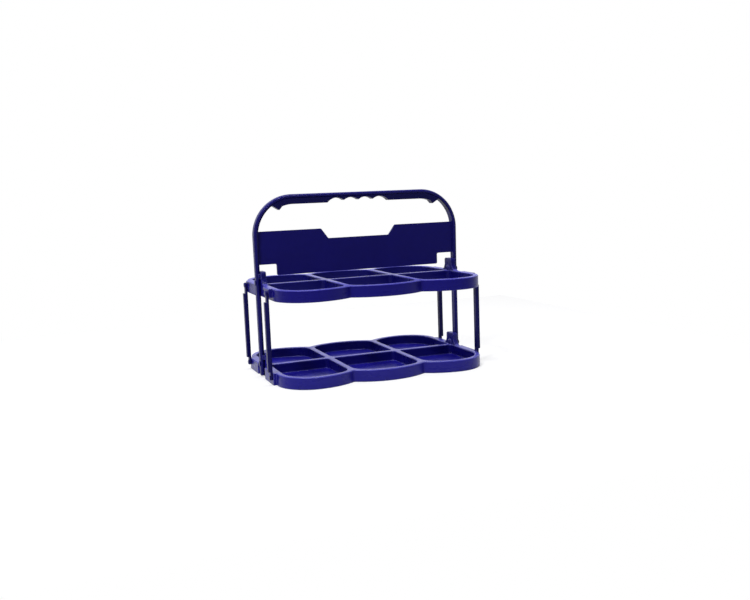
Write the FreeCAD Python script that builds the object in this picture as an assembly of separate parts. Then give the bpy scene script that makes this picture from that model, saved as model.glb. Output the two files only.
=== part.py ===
import FreeCAD
import Part
import math
import os

from FreeCAD import Vector

# Folding carrier for six sports bottles: two moulded trays, four hinged posts, a panelled carrying handle and
# the pins that join them. X runs along the carrier, Y across it, Z up from the floor. Millimetres.

# Trays
divider_pitch = 92.0          # between the two cross ribs, which meet the sides in the creases
end_cell_length = 76.5        # clear length of an end cell
cell_depth = 94.0             # clear depth of a cell from the middle rib to the crown of its lobe
rib_width = 7.0
rim_width = 6.5
crease_depth = 15.0           # how far a crease lies behind the crowns of the lobes
end_corner_radius = 42.0
crease_radius = 2.5
cell_corner_radius = 20.0     # cell corner beside a crease
rib_corner_radius = 5.0       # cell corner beside the middle rib
tray_height = 14.3
wall = 2.0
floor_thickness = 2.0
rim_edge_radius = 1.4
mouth_edge_radius = 0.8

# Fold linkage
tray_spacing = 101.2          # from tray to tray, which is also the length of every link
post_offset = 54.0            # posts in front of and behind the middle
post_pivot_height = 9.0       # above the bottom of each tray
handle_pivot_rise = 2.0       # above the top of each tray
fold_angle = 73.0             # degrees from upright to fully folded

# Posts
post_thickness = 5.1
post_width = 6.5
post_edge_radius = 0.7
tongue_thickness = 2.7        # ends of a post, thinned on the outside for the heads of its pins
shoulder_gap = 1.8            # between a tray and the full thickness of a post

# Pads on the tray ends, which the posts turn against, with a bay for each leg between them
pad_depth = 4.0
pad_overhang = 3.75           # how far a pad runs on past the pivot of its post
bay_clearance = 1.5
sweep_clearance = 1.0         # between the folded leg and the pad above it

# Lugs on the tray ends
lug_height = 16.0
lug_top_width = 19.5
lug_base_width = 42.0
lug_thickness = 6.0
lug_corner_radius = 3.0
lug_boss_radius = 4.6
lug_boss_height = 1.0
stop_width = 2.0
stop_rise = 5.5               # bottom of the upright stop above the handle pivot

# Handle
leg_width = 8.0
leg_lift = 1.0                # end of a leg above the floor
band_thickness = 5.2
band_depth = 10.0
band_edge_radius = 1.8
band_corner_radius = 51.0
panel_thickness = 2.8
panel_gap = 9.8               # between the upper tray and the panel
panel_height = 54.9
panel_corner_radius = 2.0
notch_length = 22.9           # bottom corners of the panel, cut away around the lugs
notch_height = 14.2
hand_opening = 32.1           # between the panel and the grip
hand_cut_depth = 12.6
hand_cut_top = 101.0
hand_cut_bottom = 82.5
grip_height = 12.2
grip_sweep = 28.0             # degrees of each corner that the grip follows
hook_drop = 2.4               # how far the hooked end of the grip hangs below its underside
hook_undercut = 8.0           # degrees by which the end face of the grip leans back
finger_count = 4
finger_pitch = 19.5
finger_depth = 5.7
finger_cusp = 3.3             # height of the ridges between the fingers

# Pins
post_pin_radius = 1.5
post_pin_head_radius = 2.7
handle_pin_radius = 2.0
handle_pin_head_radius = 3.1
pin_head_height = 0.9
pin_head_edge = 0.4
pin_tail = 0.4                # end of a pin that shows past its hole

# Fits
side_clearance = 0.3          # between flat faces that turn past each other
running_clearance = 0.06      # radial, pin in a part that turns on it
snug_clearance = 0.02         # radial, pin in the part that holds it
overshoot = 1.0               # extra length of cutting tools
tolerance = 0.01              # for finding edges by their place

# Places worked out from the sizes above
divider_x = divider_pitch / 2
end_face = divider_x + rib_width / 2 + end_cell_length + rim_width
crown_y = rib_width / 2 + cell_depth + rim_width
upper_top = tray_spacing + tray_height
leg_inner = end_face + side_clearance
leg_outer = leg_inner + band_thickness
pad_face = end_face + pad_depth
pad_end = post_offset + pad_overhang
post_inner = pad_face + side_clearance
post_outer = post_inner + post_thickness
tongue_outer = post_inner + tongue_thickness
handle_pivot_height = tray_height + handle_pivot_rise
panel_bottom = upper_top + panel_gap
panel_top = panel_bottom + panel_height
grip_bottom = panel_top + hand_opening
handle_top = grip_bottom + grip_height

sides = (("left", -1), ("right", 1))
rows = (("front", -1), ("back", 1))


def arc(start, middle, end):
    return Part.Arc(Vector(*start), Vector(*middle), Vector(*end)).toShape()


def closed_face(edges):
    return Part.Face(Part.Wire(Part.__sortEdges__(edges)))


def polygon_face(points):
    return Part.Face(Part.makePolygon([Vector(*point) for point in points + points[:1]]))


def box(low, high):
    size = [top - bottom for bottom, top in zip(low, high)]
    return Part.makeBox(*size, Vector(*low))


def rod_along_x(radius, x_start, x_end, y, z):
    length = abs(x_end - x_start)
    return Part.makeCylinder(radius, length, Vector(min(x_start, x_end), y, z), Vector(1, 0, 0))


def mirrored(shape, side):
    return shape if side > 0 else shape.mirror(Vector(0, 0, 0), Vector(1, 0, 0))


def edges_along(shape, direction, test):
    """Straight edges parallel to a direction whose middle passes the test."""
    chosen = []
    for edge in shape.Edges:
        if not isinstance(edge.Curve, Part.Line):
            continue
        parallel = edge.tangentAt(edge.FirstParameter).cross(direction).Length < tolerance
        if parallel and test(edge.CenterOfMass):
            chosen.append(edge)
    return chosen


def level(side, row, x, y):
    """Point in plan, given for the right-hand back quarter of a tray and mirrored into another."""
    return Vector(side * x, row * y, 0)


def arc_about(centre, radius, first, last):
    """Arc round a centre that starts and ends in the directions of two vectors, the short way."""
    first = Vector(first).normalize()
    last = Vector(last).normalize()
    middle = (first + last).normalize()
    return Part.Arc(*[centre + way * radius for way in (first, middle, last)]).toShape()


def meeting_point(centre_a, radius_a, centre_b, radius_b):
    """Where two circles cross, on the left of the way from the first centre to the second."""
    between = centre_b - centre_a
    along = (radius_a ** 2 - radius_b ** 2 + between.Length ** 2) / (2 * between.Length)
    across = math.sqrt(radius_a ** 2 - along ** 2)
    ahead = Vector(between).normalize()
    return centre_a + ahead * along + Vector(-ahead.y, ahead.x, 0) * across


def lobe_radius(reach):
    """Radius of an arc that falls by the crease depth over a reach from its crown."""
    return (reach ** 2 + crease_depth ** 2) / (2 * crease_depth)


crown_x = end_face - end_corner_radius
bend_y = crown_y - end_corner_radius
end_lobe_radius = lobe_radius(crown_x - divider_x)
middle_lobe_radius = lobe_radius(divider_x)
end_lobe_y = crown_y - end_lobe_radius
middle_lobe_y = crown_y - middle_lobe_radius
crease = meeting_point(Vector(0, middle_lobe_y, 0), middle_lobe_radius + crease_radius,
                       Vector(crown_x, end_lobe_y, 0), end_lobe_radius + crease_radius)


def tray_outline(inset):
    """Plan of a tray: straight ends, round corners and three lobes on each long side."""
    edges = []
    for row in (-1, 1):
        middle = level(1, row, 0, middle_lobe_y)
        creases = [level(side, row, crease.x, crease.y) for side in (-1, 1)]
        edges.append(arc_about(middle, middle_lobe_radius - inset, creases[0] - middle, creases[1] - middle))
        for side, spot in zip((-1, 1), creases):
            outward = Vector(side, 0, 0)
            forward = Vector(0, row, 0)
            end_lobe = level(side, row, crown_x, end_lobe_y)
            corner = level(side, row, crown_x, bend_y)
            edges.append(arc_about(spot, crease_radius + inset, middle - spot, end_lobe - spot))
            edges.append(arc_about(end_lobe, end_lobe_radius - inset, spot - end_lobe, forward))
            edges.append(arc_about(corner, end_corner_radius - inset, forward, outward))
    for side in (-1, 1):
        ends = [level(side, row, end_face - inset, bend_y) for row in (-1, 1)]
        edges.append(Part.makeLine(*ends))
    return closed_face(edges)


def end_cell(side, row, grow):
    """Plan of a cell at an end of a tray, wider all round by grow."""
    half_rib = rib_width / 2
    near, far, rib = divider_x + half_rib, end_face - rim_width, half_rib
    bend = rib + rib_corner_radius
    end_lobe = level(side, row, crown_x, end_lobe_y)
    corner_x = near + cell_corner_radius
    reach = end_lobe_radius - rim_width - cell_corner_radius
    corner_y = end_lobe_y + math.sqrt(reach ** 2 - (corner_x - crown_x) ** 2)
    beside_crease = level(side, row, corner_x, corner_y)
    outward, forward = Vector(side, 0, 0), Vector(0, row, 0)
    lobe_way = beside_crease - end_lobe
    return closed_face([
        Part.makeLine(level(side, row, near + rib_corner_radius, rib - grow),
                      level(side, row, far - rib_corner_radius, rib - grow)),
        arc_about(level(side, row, far - rib_corner_radius, bend), rib_corner_radius + grow,
                  -forward, outward),
        Part.makeLine(level(side, row, far + grow, bend), level(side, row, far + grow, bend_y)),
        arc_about(level(side, row, crown_x, bend_y), end_corner_radius - rim_width + grow, outward, forward),
        arc_about(end_lobe, end_lobe_radius - rim_width + grow, forward, lobe_way),
        arc_about(beside_crease, cell_corner_radius + grow, lobe_way, -outward),
        Part.makeLine(level(side, row, near - grow, corner_y), level(side, row, near - grow, bend)),
        arc_about(level(side, row, near + rib_corner_radius, bend), rib_corner_radius + grow,
                  -outward, -forward)])


def middle_cell(row, grow):
    """Plan of a cell in the middle of a tray, wider all round by grow."""
    half_rib = rib_width / 2
    far, rib = divider_x - half_rib, half_rib
    bend = rib + rib_corner_radius
    lobe = level(1, row, 0, middle_lobe_y)
    corner_x = far - cell_corner_radius
    reach = middle_lobe_radius - rim_width - cell_corner_radius
    corner_y = middle_lobe_y + math.sqrt(reach ** 2 - corner_x ** 2)
    forward = Vector(0, row, 0)
    edges = [Part.makeLine(level(-1, row, far - rib_corner_radius, rib - grow),
                           level(1, row, far - rib_corner_radius, rib - grow))]
    lobe_ways = []
    for side in (-1, 1):
        outward = Vector(side, 0, 0)
        beside_crease = level(side, row, corner_x, corner_y)
        lobe_ways.append(beside_crease - lobe)
        edges.append(arc_about(level(side, row, far - rib_corner_radius, bend), rib_corner_radius + grow,
                               -forward, outward))
        edges.append(Part.makeLine(level(side, row, far + grow, bend),
                                   level(side, row, far + grow, corner_y)))
        edges.append(arc_about(beside_crease, cell_corner_radius + grow, outward, lobe_ways[-1]))
    edges.append(arc_about(lobe, middle_lobe_radius - rim_width + grow, *lobe_ways))
    return closed_face(edges)


def six_cells(grow):
    cells = []
    for row in (-1, 1):
        cells += [end_cell(-1, row, grow), middle_cell(row, grow), end_cell(1, row, grow)]
    return cells


def prism(face, bottom, top):
    solid = face.extrude(Vector(0, 0, top - bottom))
    solid.translate(Vector(0, 0, bottom))
    return solid


def top_face(tray):
    return max(tray.Faces, key=lambda face: (round(face.CenterOfMass.z, 3), face.Area))


def moulded_tray(floor):
    """Rims and ribs are hollow from below, so that the moulding has one wall thickness all over."""
    tray = prism(tray_outline(0), 0, tray_height)
    bottom = floor if floor else -overshoot
    tray = tray.cut([prism(cell, bottom, tray_height + overshoot) for cell in six_cells(0)])
    tray = tray.makeFillet(rim_edge_radius, top_face(tray).OuterWire.Edges)
    mouths = [wire for wire in top_face(tray).Wires if not wire.isSame(top_face(tray).OuterWire)]
    tray = tray.makeFillet(mouth_edge_radius, [edge for wire in mouths for edge in wire.Edges])
    hollow = prism(tray_outline(wall), -overshoot, tray_height - wall)
    hollow = hollow.cut([prism(cell, -2 * overshoot, tray_height) for cell in six_cells(wall)])
    return tray.cut(hollow)


def middle_of(edge):
    return edge.valueAt((edge.FirstParameter + edge.LastParameter) / 2)


def lug():
    """Bracket on a tray end that carries the handle: a waisted plate with a boss, a bore and a stop."""
    top = tray_height + lug_height
    half_top = lug_top_width / 2
    half_base = lug_base_width / 2
    waist = tray_height + lug_height / 2
    shoulder = top - lug_corner_radius
    inner = half_top - lug_corner_radius
    bevel = lug_corner_radius * math.sqrt(0.5)
    bend = 1 - math.sqrt(0.5)
    flare = (half_base - half_top) * bend
    x = end_face - lug_thickness
    foot = tray_height - wall / 2
    edges = [Part.makeLine(Vector(x, -half_base, foot), Vector(x, half_base, foot)),
             Part.makeLine(Vector(x, -inner, top), Vector(x, inner, top))]
    for row in (-1, 1):
        edges.append(Part.makeLine(Vector(x, row * half_base, foot), Vector(x, row * half_base, tray_height)))
        edges.append(arc((x, row * half_base, tray_height),
                         (x, row * (half_top + flare), tray_height + (waist - tray_height) * bend),
                         (x, row * half_top, waist)))
        edges.append(Part.makeLine(Vector(x, row * half_top, waist), Vector(x, row * half_top, shoulder)))
        edges.append(arc((x, row * half_top, shoulder), (x, row * (inner + bevel), shoulder + bevel),
                         (x, row * inner, top)))
    plate = closed_face(edges).extrude(Vector(lug_thickness, 0, 0))
    boss = rod_along_x(lug_boss_radius, x - lug_boss_height, end_face, 0, handle_pivot_height)
    above_tray = box((x - lug_boss_height, -half_base, tray_height), (end_face, half_base, top))
    stop_y = leg_width / 2 + side_clearance
    stop = box((end_face - lug_thickness / 2, -stop_y - stop_width, handle_pivot_height + stop_rise),
               (leg_inner + band_thickness / 2, -stop_y, shoulder))
    bore = rod_along_x(handle_pin_radius + snug_clearance, x - lug_boss_height - overshoot,
                       end_face + overshoot, 0, handle_pivot_height)
    return plate.fuse(boss.common(above_tray)).fuse(stop), bore


def pad(outline):
    """Raised wall on a tray end, given by its corners seen along the carrier."""
    face = polygon_face([(end_face - wall / 2, y, z) for y, z in outline])
    solid = face.extrude(Vector(wall / 2 + pad_depth, 0, 0))
    rim = edges_along(solid, Vector(0, 1, 0),
                      lambda point: point.x > end_face and point.z > tray_height - tolerance)
    return solid.makeFillet(rim_edge_radius, rim)


def full_pad(start, row):
    corners = [(start, 0), (pad_end, 0), (pad_end, tray_height), (start, tray_height)]
    return pad([(row * y, z) for y, z in corners])


def lower_pads():
    """Two full pads beside the bay in which the foot of a leg swings."""
    bay = math.hypot(handle_pivot_height - leg_lift, leg_width / 2) + bay_clearance
    return [full_pad(bay, row) for row in (-1, 1)]


def upper_pads():
    """A full pad behind the leg, and a slanted one in front, where the leg lies under it when folded."""
    fold = math.radians(fold_angle)
    half_leg = leg_width / 2
    bay = half_leg / math.cos(fold) - handle_pivot_rise * math.tan(fold) + bay_clearance
    lift = handle_pivot_height + (half_leg + sweep_clearance) / math.sin(fold)
    tip_bottom = tray_height - wall
    tip = (lift - tip_bottom) * math.tan(fold)
    slanted = [(-tip, tray_height), (-tip, tip_bottom), (-pad_end, lift - pad_end / math.tan(fold)),
               (-pad_end, tray_height)]
    return [full_pad(bay, 1), pad(slanted)]


def pad_bore(y):
    return rod_along_x(post_pin_radius + snug_clearance, end_face - wall - overshoot, pad_face + overshoot,
                       y, post_pivot_height)


def finished_tray(floor, pads, bottom):
    tray = moulded_tray(floor)
    lug_solid, lug_bore = lug()
    added = []
    bores = []
    for side in (-1, 1):
        added += [mirrored(piece, side) for piece in [lug_solid] + pads]
        bores.append(mirrored(lug_bore, side))
        for row in (-1, 1):
            bores.append(mirrored(pad_bore(row * post_offset), side))
    tray = tray.fuse(added).removeSplitter().cut(bores)
    tray.translate(Vector(0, 0, bottom))
    return tray


def post(side, y):
    """Link with a thinner, round tongue at each end."""
    low = post_pivot_height
    high = tray_spacing + post_pivot_height
    half = post_width / 2
    body = box((post_inner, y - half, tray_height + shoulder_gap),
               (post_outer, y + half, tray_spacing - shoulder_gap))
    long_edges = edges_along(body, Vector(0, 0, 1), lambda point: abs(point.x - post_outer) < tolerance)
    body = body.makeFillet(post_edge_radius, long_edges)
    tongue = box((post_inner, y - half, low), (tongue_outer, y + half, high))
    ends = [rod_along_x(half, post_inner, tongue_outer, y, z) for z in (low, high)]
    bores = [rod_along_x(post_pin_radius + running_clearance, post_inner - overshoot,
                         tongue_outer + overshoot, y, z) for z in (low, high)]
    return mirrored(body.fuse([tongue] + ends).removeSplitter().cut(bores), side)


def pin(radius, head_radius, head_face, tip, side, y, z):
    """Push pin: a plain shank with a low domed head on the outside of the carrier."""
    head_top = head_face + pin_head_height
    head = rod_along_x(head_radius, head_face, head_top, y, z)
    rim = [edge for edge in head.Edges
           if isinstance(edge.Curve, Part.Circle) and abs(edge.CenterOfMass.x - head_top) < tolerance]
    head = head.makeFillet(pin_head_edge, rim)
    shank = rod_along_x(radius, tip, head_face + pin_head_height / 2, y, z)
    return mirrored(head.fuse(shank).removeSplitter(), side)


def point_on_corner(radius, degrees):
    """Point on the right-hand corner of the handle, measured from straight up."""
    centre_x = leg_outer - band_corner_radius
    centre_z = handle_top - band_corner_radius
    turn = math.radians(degrees)
    return (centre_x + radius * math.sin(turn), 0, centre_z + radius * math.cos(turn))


def band_profile():
    """Arched strap seen from the front, with legs that run down past both trays."""
    centre_z = handle_top - band_corner_radius
    inner_radius = band_corner_radius - band_thickness
    quarter, half_quarter = 90, 45
    right = [(leg_outer, 0, centre_z), (leg_outer, 0, leg_lift),
             (leg_inner, 0, leg_lift), (leg_inner, 0, centre_z)]
    edges = []
    for side in (-1, 1):
        points = [Vector(side * x, y, z) for x, y, z in right]
        edges += [Part.makeLine(start, end) for start, end in zip(points, points[1:])]
        for radius in (band_corner_radius, inner_radius):
            places = [point_on_corner(radius, degrees) for degrees in (quarter, half_quarter, 0)]
            edges.append(arc(*[(side * x, y, z) for x, y, z in places]))
    crown = leg_outer - band_corner_radius
    for z in (handle_top, handle_top - band_thickness):
        edges.append(Part.makeLine(Vector(-crown, 0, z), Vector(crown, 0, z)))
    return closed_face(edges)


def grip_profile():
    """Thickening under the top of the strap, which follows the corners and ends in two hooks."""
    outer_radius = band_corner_radius - band_thickness / 2
    under_radius = band_corner_radius - grip_height
    top_start = point_on_corner(outer_radius, grip_sweep + hook_undercut)
    tip = point_on_corner(under_radius - hook_drop, grip_sweep)
    under_end = point_on_corner(under_radius, grip_sweep - hook_undercut)
    under_mid = point_on_corner(under_radius, (grip_sweep - hook_undercut) / 2)
    under_start = point_on_corner(under_radius, 0)
    outer_mid = point_on_corner(outer_radius, (grip_sweep + hook_undercut) / 2)
    outer_start = point_on_corner(outer_radius, 0)
    edges = []
    for side in (-1, 1):
        def place(point):
            return (side * point[0], point[1], point[2])
        edges.append(arc(place(outer_start), place(outer_mid), place(top_start)))
        edges.append(Part.makeLine(Vector(*place(top_start)), Vector(*place(tip))))
        edges.append(Part.makeLine(Vector(*place(tip)), Vector(*place(under_end))))
        edges.append(arc(place(under_end), place(under_mid), place(under_start)))
    for point in (outer_start, under_start):
        edges.append(Part.makeLine(Vector(-point[0], 0, point[2]), Vector(*point)))
    return closed_face(edges)


def finger_cuts():
    """Row of round scallops, with a ridge between neighbours."""
    radius = ((finger_pitch / 2) ** 2 + finger_cusp ** 2) / (2 * finger_cusp)
    centre_z = grip_bottom + finger_depth - radius
    first = -finger_pitch * (finger_count - 1) / 2
    starts = [Vector(first + number * finger_pitch, -band_depth, centre_z) for number in range(finger_count)]
    return [Part.makeCylinder(radius, 2 * band_depth, start, Vector(0, 1, 0)) for start in starts]


def strap_side_view():
    """Round-ended legs that widen from the trays to the full depth of the strap."""
    half_leg = leg_width / 2
    half_band = band_depth / 2
    bend = leg_lift + half_leg
    x = -leg_outer
    edges = [arc((x, -half_leg, bend), (x, 0, leg_lift), (x, half_leg, bend))]
    for row in (-1, 1):
        points = [(x, row * half_leg, bend), (x, row * half_leg, panel_bottom),
                  (x, row * half_band, panel_top), (x, row * half_band, handle_top)]
        points = [Vector(*point) for point in points]
        edges += [Part.makeLine(start, end) for start, end in zip(points, points[1:])]
    edges.append(Part.makeLine(Vector(x, -half_band, handle_top), Vector(x, half_band, handle_top)))
    return closed_face(edges)


def panel():
    """Flat plate below the hand opening, cut down for the hand and around the lugs."""
    edge_x = leg_outer - band_thickness / 2
    notch_x = leg_inner - notch_length
    notch_top = panel_bottom + notch_height
    right = [(hand_cut_bottom / 2, panel_top - hand_cut_depth), (hand_cut_top / 2, panel_top),
             (edge_x, panel_top), (edge_x, notch_top), (notch_x, notch_top), (notch_x, panel_bottom)]
    left = [(-x, z) for x, z in reversed(right)]
    front = -panel_thickness / 2
    plate = polygon_face([(x, front, z) for x, z in right + left]).extrude(Vector(0, panel_thickness, 0))
    corners = edges_along(plate, Vector(0, 1, 0), lambda point: abs(point.x) < leg_inner)
    return plate.makeFillet(panel_corner_radius, corners)


def handle():
    depth = Vector(0, band_depth, 0)
    strap = band_profile().fuse(grip_profile()).removeSplitter().extrude(depth)
    strap.translate(depth * -0.5)
    strap = strap.cut(finger_cuts())
    strap = strap.common(strap_side_view().extrude(Vector(2 * leg_outer, 0, 0)))
    outer = [edge for edge in strap.Edges if on_outer_edge(edge)]
    strap = strap.makeFillet(band_edge_radius, outer)
    bores = []
    for side in (-1, 1):
        for z in (handle_pivot_height, tray_spacing + handle_pivot_height):
            bore = rod_along_x(handle_pin_radius + running_clearance, leg_inner - overshoot,
                               leg_outer + overshoot, 0, z)
            bores.append(mirrored(bore, side))
    return strap.fuse(panel()).removeSplitter().cut(bores)


def on_outer_edge(edge):
    """Long front and back edges of the strap's outer face, above the trays."""
    spot = middle_of(edge)
    centre_x = leg_outer - band_corner_radius
    centre_z = handle_top - band_corner_radius
    across_x = max(abs(spot.x) - centre_x, 0)
    across_z = max(spot.z - centre_z, 0)
    at_corner = abs(math.hypot(across_x, across_z) - band_corner_radius) < tolerance
    at_skin = at_corner or abs(spot.x) > leg_outer - tolerance
    runs_across = abs(edge.Vertexes[0].Y - edge.Vertexes[-1].Y) > leg_width / 2
    return at_skin and abs(spot.y) > leg_width / 4 and not runs_across and spot.z > leg_lift + leg_width


nodes = {
    "lower_tray": finished_tray(floor_thickness, lower_pads(), 0),
    "upper_tray": finished_tray(0, upper_pads(), tray_spacing),
    "handle": handle(),
}
lug_inner = end_face - lug_thickness - lug_boss_height
for side_name, side_sign in sides:
    for tray_name, bottom_z in (("lower", 0), ("upper", tray_spacing)):
        nodes[f"handle_pin_{tray_name}_{side_name}"] = pin(
            handle_pin_radius, handle_pin_head_radius, leg_outer + side_clearance / 2, lug_inner - pin_tail,
            side_sign, 0, bottom_z + handle_pivot_height)
        for row_name, row_sign in rows:
            nodes[f"post_pin_{tray_name}_{row_name}_{side_name}"] = pin(
                post_pin_radius, post_pin_head_radius, tongue_outer + side_clearance / 2,
                end_face - wall - pin_tail,
                side_sign, row_sign * post_offset, bottom_z + post_pivot_height)
    for row_name, row_sign in rows:
        nodes[f"post_{row_name}_{side_name}"] = post(side_sign, row_sign * post_offset)

os.makedirs("parts", exist_ok=True)
for name, shape in nodes.items():
    shape.exportStep(f"parts/{name}.step")
    state = "valid" if shape.isValid() else "INVALID"
    print(name, len(shape.Solids), "solid", round(shape.Volume), "mm3", state)
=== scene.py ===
import bpy
import math
from mathutils import Matrix, Vector


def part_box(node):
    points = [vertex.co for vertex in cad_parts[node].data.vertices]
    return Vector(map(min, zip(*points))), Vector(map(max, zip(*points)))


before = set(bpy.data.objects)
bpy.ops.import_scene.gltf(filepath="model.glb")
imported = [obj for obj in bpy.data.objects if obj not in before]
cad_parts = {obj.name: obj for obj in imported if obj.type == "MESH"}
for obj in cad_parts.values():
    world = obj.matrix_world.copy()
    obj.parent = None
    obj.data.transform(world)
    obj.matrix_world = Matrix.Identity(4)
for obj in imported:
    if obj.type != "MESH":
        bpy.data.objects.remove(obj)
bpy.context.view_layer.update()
print("frame loaded:", len(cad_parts), "nodes")

scene = bpy.context.scene
scene.view_settings.view_transform = "Standard"


# camera, at the photo's viewing angle
cameraSet = {
    "azimuth": -21.466,       # degrees, from front-left
    "elevation": 7.452,
    "roll": 2.152,
    "sensorWidth": 36,        # millimetres
    "focalPixels": 842.0,
    "imageWidth": 750,
    "place": (-0.3793, -1.0136, 0.2259),
}


def placeCamera(settings):
    turn = math.radians(settings["azimuth"])
    lift = math.radians(settings["elevation"])
    roll = math.radians(settings["roll"])
    back = Vector((math.sin(turn) * math.cos(lift), -math.cos(turn) * math.cos(lift), math.sin(lift)))
    levelRight = Vector((0, 0, 1)).cross(back).normalized()
    levelUp = back.cross(levelRight)
    right = levelRight * math.cos(roll) - levelUp * math.sin(roll)
    up = levelRight * math.sin(roll) + levelUp * math.cos(roll)
    data = bpy.data.cameras.new("photoCamera")
    data.sensor_width = settings["sensorWidth"]
    data.lens = settings["focalPixels"] * settings["sensorWidth"] / settings["imageWidth"]
    camera = bpy.data.objects.new("photoCamera", data)
    scene.collection.objects.link(camera)
    axes = Matrix((right, up, back)).transposed().to_4x4()
    camera.matrix_world = Matrix.Translation(settings["place"]) @ axes
    scene.camera = camera


placeCamera(cameraSet)
print("camera placed")


# node helpers
def newMaterial(name):
    material = bpy.data.materials.new(name)
    material.use_nodes = True
    tree = material.node_tree
    return material, tree, tree.nodes["Principled BSDF"]


def fill(tree, socket, value):
    if isinstance(value, bpy.types.NodeSocket):
        tree.links.new(value, socket)
    else:
        socket.default_value = value


def addNode(tree, kind, **inputs):
    node = tree.nodes.new(kind)
    for name, value in inputs.items():
        fill(tree, node.inputs[name], value)
    return node


def splitAxes(tree, vector):
    return addNode(tree, "ShaderNodeSeparateXYZ", Vector=vector).outputs


def surfaceNormal(tree):
    return tree.nodes.new("ShaderNodeNewGeometry").outputs["Normal"]


def noiseAt(tree, place, size, detail):          # size in metres
    node = addNode(tree, "ShaderNodeTexNoise", Vector=place, Scale=1 / size, Detail=detail)
    return node.outputs["Fac"]


def combine(tree, operation, *values):
    node = tree.nodes.new("ShaderNodeMath")
    node.operation = operation
    for socket, value in zip(node.inputs, values):
        fill(tree, socket, value)
    return node.outputs["Value"]


def remap(tree, value, fromRange, toRange=(0.0, 1.0)):
    node = tree.nodes.new("ShaderNodeMapRange")
    node.interpolation_type = "SMOOTHSTEP"
    settings = (value, *fromRange, *toRange)
    for name, setting in zip(("Value", "From Min", "From Max", "To Min", "To Max"), settings):
        fill(tree, node.inputs[name], setting)
    return node.outputs["Result"]


def mixColors(tree, share, first, second):
    node = tree.nodes.new("ShaderNodeMix")
    node.data_type = "RGBA"
    for name, value in (("Factor", share), ("A", first), ("B", second)):
        fill(tree, node.inputs[name], value)
    return node.outputs["Result"]


# moulded plastic, shared by all the pieces; sizes in metres
mouldingLook = {
    "color": (0.0085, 0.0064, 0.190, 1),
    "deepColor": (0.0072, 0.0054, 0.163, 1),
    "flowSize": 0.035,        # colour drift along the flow of the plastic
    "flowDetail": 3.0,
    "wornAndHighlightColor": (0.060, 0.056, 0.330, 1),
    "edgeWearAndHighlight": 0.35,
    "edgeRadius": 0.0007,
    "edgeTurn": (0.86, 0.995),     # how far the rounded normal leaves the true one
    "edgeSamples": 6,
    "patchSize": 0.007,       # broken-up wear
    "patchDetail": 4.0,
    "patchRange": (0.8, 1.0),
    "specular": 0.13,
    "sheen": (0.72, 0.72, 1.0, 1),
    "roughness": 0.30,
    "roughnessSwing": 0.04,
    "scuffLength": 0.05,
    "scuffThinness": 7,
    "scuffTurn": (0.3, 0.5, 0.2),
    "scuffDetail": 5.0,
    "softRadius": 0.0006,     # moulded edges catch the light over this width
    "softSamples": 8,
    "waveSize": 0.012,        # slight sink of the walls
    "waveDetail": 1.0,
    "waveDepth": 0.00004,
    "grainSize": 0.0009,      # mould texture
    "grainDetail": 2.0,
    "grainDepth": 0.000007,
}
noiseSpread = (0.3, 0.7)      # where most of a noise's values lie


# pale rounded edges: wear, and on the trays also a painted highlight
def wearAndHighlightEdges(tree, look):
    rounded = addNode(tree, "ShaderNodeBevel", Radius=look["edgeRadius"])
    rounded.samples = look["edgeSamples"]
    spread = tree.nodes.new("ShaderNodeVectorMath")
    spread.operation = "DOT_PRODUCT"
    tree.links.new(rounded.outputs["Normal"], spread.inputs[0])
    tree.links.new(surfaceNormal(tree), spread.inputs[1])
    return remap(tree, spread.outputs["Value"], look["edgeTurn"], (look["edgeWearAndHighlight"], 0.0))


def rimRubAndHighlightMask(tree, axes, rims):       # tops of rims and ribs: paler for rubbing by the bottles, and a painted highlight
    away = combine(tree, "ABSOLUTE", combine(tree, "SUBTRACT", axes["Z"], rims["height"]))
    level = remap(tree, splitAxes(tree, surfaceNormal(tree))["Z"], rims["facing"])
    near = remap(tree, away, rims["reach"], (1.0, 0.0))
    return combine(tree, "MULTIPLY", combine(tree, "MULTIPLY", level, near), rims["rubAndHighlightShare"])


def strapInset(tree, axes, web):     # metres in from the strap's rounded outline
    outX = combine(tree, "SUBTRACT", combine(tree, "ABSOLUTE", axes["X"]), web["halfWidth"] - web["corner"])
    outZ = combine(tree, "SUBTRACT", axes["Z"], web["top"] - web["corner"])
    squares = [combine(tree, "POWER", combine(tree, "MAXIMUM", value, 0.0), 2.0) for value in (outX, outZ)]
    reach = combine(tree, "SQRT", combine(tree, "ADD", *squares))
    return combine(tree, "SUBTRACT", web["corner"], reach)


def webShadeMask(tree, axes, web):        # painted shade: inside the strap, above the hand opening
    inside = remap(tree, strapInset(tree, axes, web), (web["band"], web["band"] + web["blend"]))
    high = remap(tree, axes["Z"], (web["lowest"], web["lowest"] + web["blend"]))
    return combine(tree, "MULTIPLY", inside, high)


def strapCrown(tree, axes, web):     # 0 at the edges of the strap, 1 along its middle
    across = combine(tree, "DIVIDE", strapInset(tree, axes, web), web["strap"])
    rest = combine(tree, "SUBTRACT", 1.0, across)
    arch = combine(tree, "MULTIPLY", combine(tree, "MULTIPLY", across, rest), 4.0)
    return combine(tree, "MAXIMUM", arch, 0.0)


def cellShadeMask(tree, axes, cells):     # painted shade: walls that face the middle of their own cell
    normal = splitAxes(tree, surfaceNormal(tree))
    middleX = combine(tree, "SNAP", combine(tree, "ADD", axes["X"], cells["pitch"] / 2), cells["pitch"])
    middleY = combine(tree, "MULTIPLY", combine(tree, "SIGN", axes["Y"]), cells["row"])
    awayX = combine(tree, "MULTIPLY", combine(tree, "SUBTRACT", axes["X"], middleX), normal["X"])
    awayY = combine(tree, "MULTIPLY", combine(tree, "SUBTRACT", axes["Y"], middleY), normal["Y"])
    return remap(tree, combine(tree, "ADD", awayX, awayY), cells["inward"], (1.0, 0.0))


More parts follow.
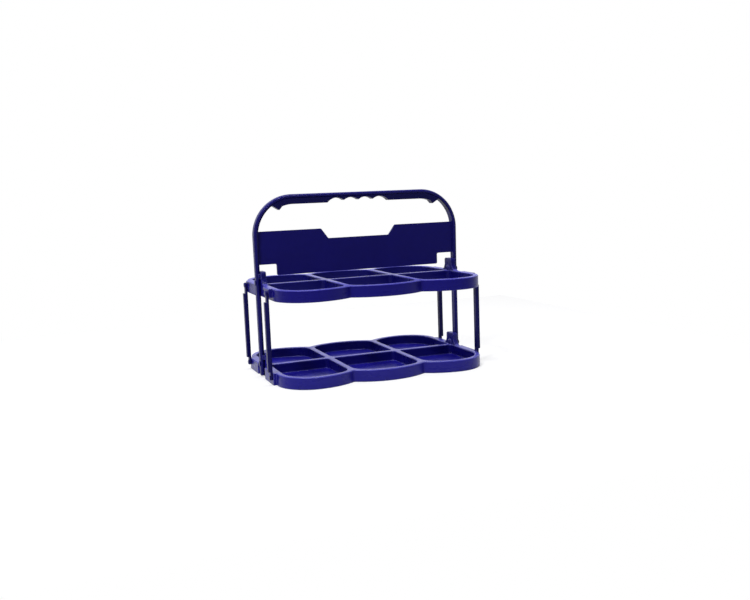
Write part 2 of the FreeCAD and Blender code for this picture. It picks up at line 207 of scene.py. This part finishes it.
def mouldedPlastic(name, changes):
    look = {**mouldingLook, **changes}
    material, tree, shader = newMaterial(name)
    place = tree.nodes.new("ShaderNodeTexCoord").outputs["Object"]
    axes = splitAxes(tree, place)
    broken = noiseAt(tree, place, look["patchSize"], look["patchDetail"])
    patches = remap(tree, broken, noiseSpread, look["patchRange"])

    drift = noiseAt(tree, place, look["flowSize"], look["flowDetail"])
    color = mixColors(tree, drift, look["deepColor"], look["color"])
    if "web" in look:                # painted shade on the web under the strap
        color = mixColors(tree, webShadeMask(tree, axes, look["web"]), color, look["web"]["color"])
    if "cells" in look:              # painted shade on the walls inside the cells
        color = mixColors(tree, cellShadeMask(tree, axes, look["cells"]), color, look["cells"]["color"])
    # paler rim tops: rubbing, and a painted highlight
    if "rims" in look:
        rubAndHighlight = combine(tree, "MULTIPLY", rimRubAndHighlightMask(tree, axes, look["rims"]), patches)
        color = mixColors(tree, rubAndHighlight, color, look["rims"]["color"])
    # pale edges: wear, and on the trays also a painted highlight
    wearHighlightShare = combine(tree, "MULTIPLY", wearAndHighlightEdges(tree, look), patches)
    color = mixColors(tree, wearHighlightShare, color, look["wornAndHighlightColor"])
    tree.links.new(color, shader.inputs["Base Color"])

    # long faint scuffs change the gloss
    across = look["scuffThinness"] / look["scuffLength"]
    stretch = addNode(tree, "ShaderNodeMapping", Vector=place, Rotation=look["scuffTurn"],
                      Scale=(1 / look["scuffLength"], across, across))
    scuffs = noiseAt(tree, stretch.outputs["Vector"], 1.0, look["scuffDetail"])
    low, high = look["roughness"] - look["roughnessSwing"], look["roughness"] + look["roughnessSwing"]
    gloss = remap(tree, scuffs, noiseSpread, (low, high))
    if "web" in look:                # the strap is polished by hands
        crown = strapCrown(tree, axes, look["web"])
        gloss = combine(tree, "SUBTRACT", gloss, combine(tree, "MULTIPLY", crown, look["web"]["polish"]))
    tree.links.new(gloss, shader.inputs["Roughness"])

    # soft edges, rounded strap, sink of the walls, then the fine mould grain
    soft = addNode(tree, "ShaderNodeBevel", Radius=look["softRadius"])
    soft.samples = look["softSamples"]
    if "web" in look:
        soft = addNode(tree, "ShaderNodeBump", Strength=1.0, Distance=look["web"]["crown"],
                       Height=crown, Normal=soft.outputs["Normal"])
    waves = noiseAt(tree, place, look["waveSize"], look["waveDetail"])
    sink = addNode(tree, "ShaderNodeBump", Strength=1.0, Distance=look["waveDepth"],
                   Height=waves, Normal=soft.outputs["Normal"])
    grit = noiseAt(tree, place, look["grainSize"], look["grainDetail"])
    grain = addNode(tree, "ShaderNodeBump", Strength=1.0, Distance=look["grainDepth"],
                    Height=grit, Normal=sink.outputs["Normal"])
    tree.links.new(grain.outputs["Normal"], shader.inputs["Normal"])
    shader.inputs["Specular IOR Level"].default_value = look["specular"]
    shader.inputs["Specular Tint"].default_value = look["sheen"]
    return material


# trays
# paler tops of rims and ribs: rubbing by the bottles, and a painted highlight
trayRimRubAndHighlight = {
    "color": (0.075, 0.073, 0.42, 1),
    "rubAndHighlightShare": 0.85,
    "facing": (0.15, 0.50),        # upward part of the normal
    "reach": (0.0010, 0.0022),     # metres below the tops
}
# painted shade inside the cells: which walls get the darker cell colour
trayCellShade = {
    "pitch": 0.092,                # metres between the cells' middles
    "row": 0.050,                  # from the middle rib to the cells' middles
    "inward": (-0.020, -0.005),
}
# trays: brighter edge tone over more of the edges, painted highlight along the rims on top of wear
trayLook = {
    "softRadius": 0.0022,
    "edgeWearAndHighlight": 0.9,
    "wornAndHighlightColor": (0.16, 0.155, 0.52, 1),
}
lowerTrayLook = {
    **trayLook,
    # lighter blue than the upper tray: painted light from the floor's bounce
    "color": (0.0085, 0.0062, 0.235, 1),
    "deepColor": (0.0072, 0.0052, 0.205, 1),
    "specular": 0.26,
    "rims": {**trayRimRubAndHighlight, "height": 0.0143},
    # painted shade: darker colour on the walls inside the lower cells
    "cells": {**trayCellShade, "color": (0.0062, 0.0048, 0.165, 1)},
}
upperTrayLook = {
    **trayLook,
    "rims": {**trayRimRubAndHighlight, "height": 0.1155},
    # painted shade: darker colour on the walls inside the upper cells
    "cells": {**trayCellShade, "color": (0.0045, 0.0040, 0.115, 1)},
}

# handle
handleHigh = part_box("handle")[1]
gripWeb = {
    # painted shade: darker colour on the grip web under the strap
    "color": (0.0034, 0.0028, 0.060, 1),
    "halfWidth": handleHigh[0],
    "top": handleHigh[2],
    "corner": 0.051,          # metres, outer radius of the strap's corners
    "band": 0.0036,           # strip of the strap that stays light
    "blend": 0.0008,
    "strap": 0.0052,          # width of the rounded strap
    "crown": 0.0018,          # height of its rounding in the shading
    "polish": 0.13,
    "lowest": handleHigh[2] - 0.030,
}
handleLook = {
    # darker blue than the trays: painted shade
    "color": (0.0072, 0.0057, 0.143, 1),
    "deepColor": (0.0060, 0.0048, 0.113, 1),
    "roughness": 0.34,
    "roughnessSwing": 0.03,
    "specular": 0.11,
    "web": gripWeb,
}

# posts and pins
postLook = {
    # darker blue than the trays: painted shade
    "color": (0.0044, 0.0034, 0.085, 1),
    "deepColor": (0.0038, 0.0029, 0.072, 1),
    "specular": 0.11,
    "softRadius": 0.0022,
}
pinLook = {
    "color": (0.0085, 0.0065, 0.140, 1),
    "deepColor": (0.0070, 0.0055, 0.110, 1),
    "roughness": 0.26,
    "flowSize": 0.006,
}

finishes = {
    "lower_tray": mouldedPlastic("lowerTrayPlastic", lowerTrayLook),
    "upper_tray": mouldedPlastic("upperTrayPlastic", upperTrayLook),
    "handle": mouldedPlastic("handlePlastic", handleLook),
    "post": mouldedPlastic("postPlastic", postLook),
    "pin": mouldedPlastic("pinPlastic", pinLook),
}


def finishFor(nodeName):
    if "pin" in nodeName:
        return finishes["pin"]
    if nodeName.startswith("post"):
        return finishes["post"]
    return finishes[nodeName]


for nodeName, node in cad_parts.items():
    for slot in node.material_slots:
        slot.material = finishFor(nodeName)
print("plastics on", len(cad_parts), "nodes")


def seenDirectly(tree):              # by the camera, and in gloss and glass
    path = tree.nodes.new("ShaderNodeLightPath")
    mirrored = combine(tree, "ADD", path.outputs["Is Glossy Ray"], path.outputs["Is Transmission Ray"])
    return combine(tree, "MINIMUM", combine(tree, "ADD", path.outputs["Is Camera Ray"], mirrored), 1.0)


# pale sheet that the carrier stands on
sheet = {
    "size": 1.0,
    "middle": (0, 0, 0),
    "paper": (0.95, 0.95, 0.95, 1),
    "roughness": 0.9,
    "specular": 0.1,
    "white": 0.65,            # share of plain white that is seen; the rest keeps the shadow
}


def buildFloor():
    bpy.ops.object.select_all(action="DESELECT")
    bpy.ops.mesh.primitive_plane_add(size=sheet["size"], location=sheet["middle"])
    floor = bpy.context.object
    floor.name = "floor"
    material, tree, shader = newMaterial("paleSheet")
    shader.inputs["Base Color"].default_value = sheet["paper"]
    shader.inputs["Roughness"].default_value = sheet["roughness"]
    shader.inputs["Specular IOR Level"].default_value = sheet["specular"]
    white = addNode(tree, "ShaderNodeEmission", Color=(1, 1, 1, 1), Strength=1.0)
    share = combine(tree, "MULTIPLY", seenDirectly(tree), sheet["white"])
    mix = addNode(tree, "ShaderNodeMixShader", Fac=share)
    tree.links.new(shader.outputs["BSDF"], mix.inputs[1])
    tree.links.new(white.outputs["Emission"], mix.inputs[2])
    tree.links.new(mix.outputs["Shader"], tree.nodes["Material Output"].inputs["Surface"])
    floor.data.materials.append(material)


# room: white where it is seen; as light, a soft backdrop behind the carrier and little in front
room = {
    "front": 0.02,
    "behind": 0.90,
    "tint": (0.86, 0.86, 1.0, 1),
    "turn": 0.39,             # the backdrop stands across the camera's view
    "across": (0.45, 0.85),
    "above": (-0.05, 0.08),
}


def buildWorld():
    world = bpy.data.worlds.new("studioWorld")
    scene.world = world
    world.use_nodes = True
    tree = world.node_tree
    way = splitAxes(tree, tree.nodes.new("ShaderNodeTexCoord").outputs["Generated"])
    turned = combine(tree, "MULTIPLY_ADD", way["X"], room["turn"], way["Y"])
    backdrop = combine(tree, "MULTIPLY", remap(tree, turned, room["across"]),
                       remap(tree, way["Z"], room["above"]))
    strength = remap(tree, backdrop, (0.0, 1.0), (room["front"], room["behind"]))
    soft = tree.nodes["Background"]
    soft.inputs["Color"].default_value = room["tint"]
    tree.links.new(strength, soft.inputs["Strength"])
    white = addNode(tree, "ShaderNodeBackground", Color=(1, 1, 1, 1), Strength=1.0)
    mix = addNode(tree, "ShaderNodeMixShader", Fac=seenDirectly(tree))
    tree.links.new(soft.outputs["Background"], mix.inputs[1])
    tree.links.new(white.outputs["Background"], mix.inputs[2])
    tree.links.new(mix.outputs["Shader"], tree.nodes["World Output"].inputs["Surface"])


# soft boxes, aimed at the lower part of the carrier
lampAim = (0, 0, 0.1)
softBoxes = {
    "keyBox": {"place": (-0.80, -0.62, 1.40), "size": (0.32, 0.24), "watts": 14.0},
    "topBox": {"place": (0, 0.05, 1.5), "size": (0.7, 0.5), "watts": 20.0},
}


def addSoftBox(name, settings):
    data = bpy.data.lights.new(name, "AREA")
    data.shape = "RECTANGLE"
    data.size, data.size_y = settings["size"]
    data.energy = settings["watts"]
    lamp = bpy.data.objects.new(name, data)
    scene.collection.objects.link(lamp)
    lamp.location = settings["place"]
    lamp.rotation_euler = (Vector(lampAim) - Vector(settings["place"])).to_track_quat("-Z", "Y").to_euler()
    lamp.visible_camera = False


buildFloor()
buildWorld()
for boxName, boxSettings in softBoxes.items():
    addSoftBox(boxName, boxSettings)
print("studio set")
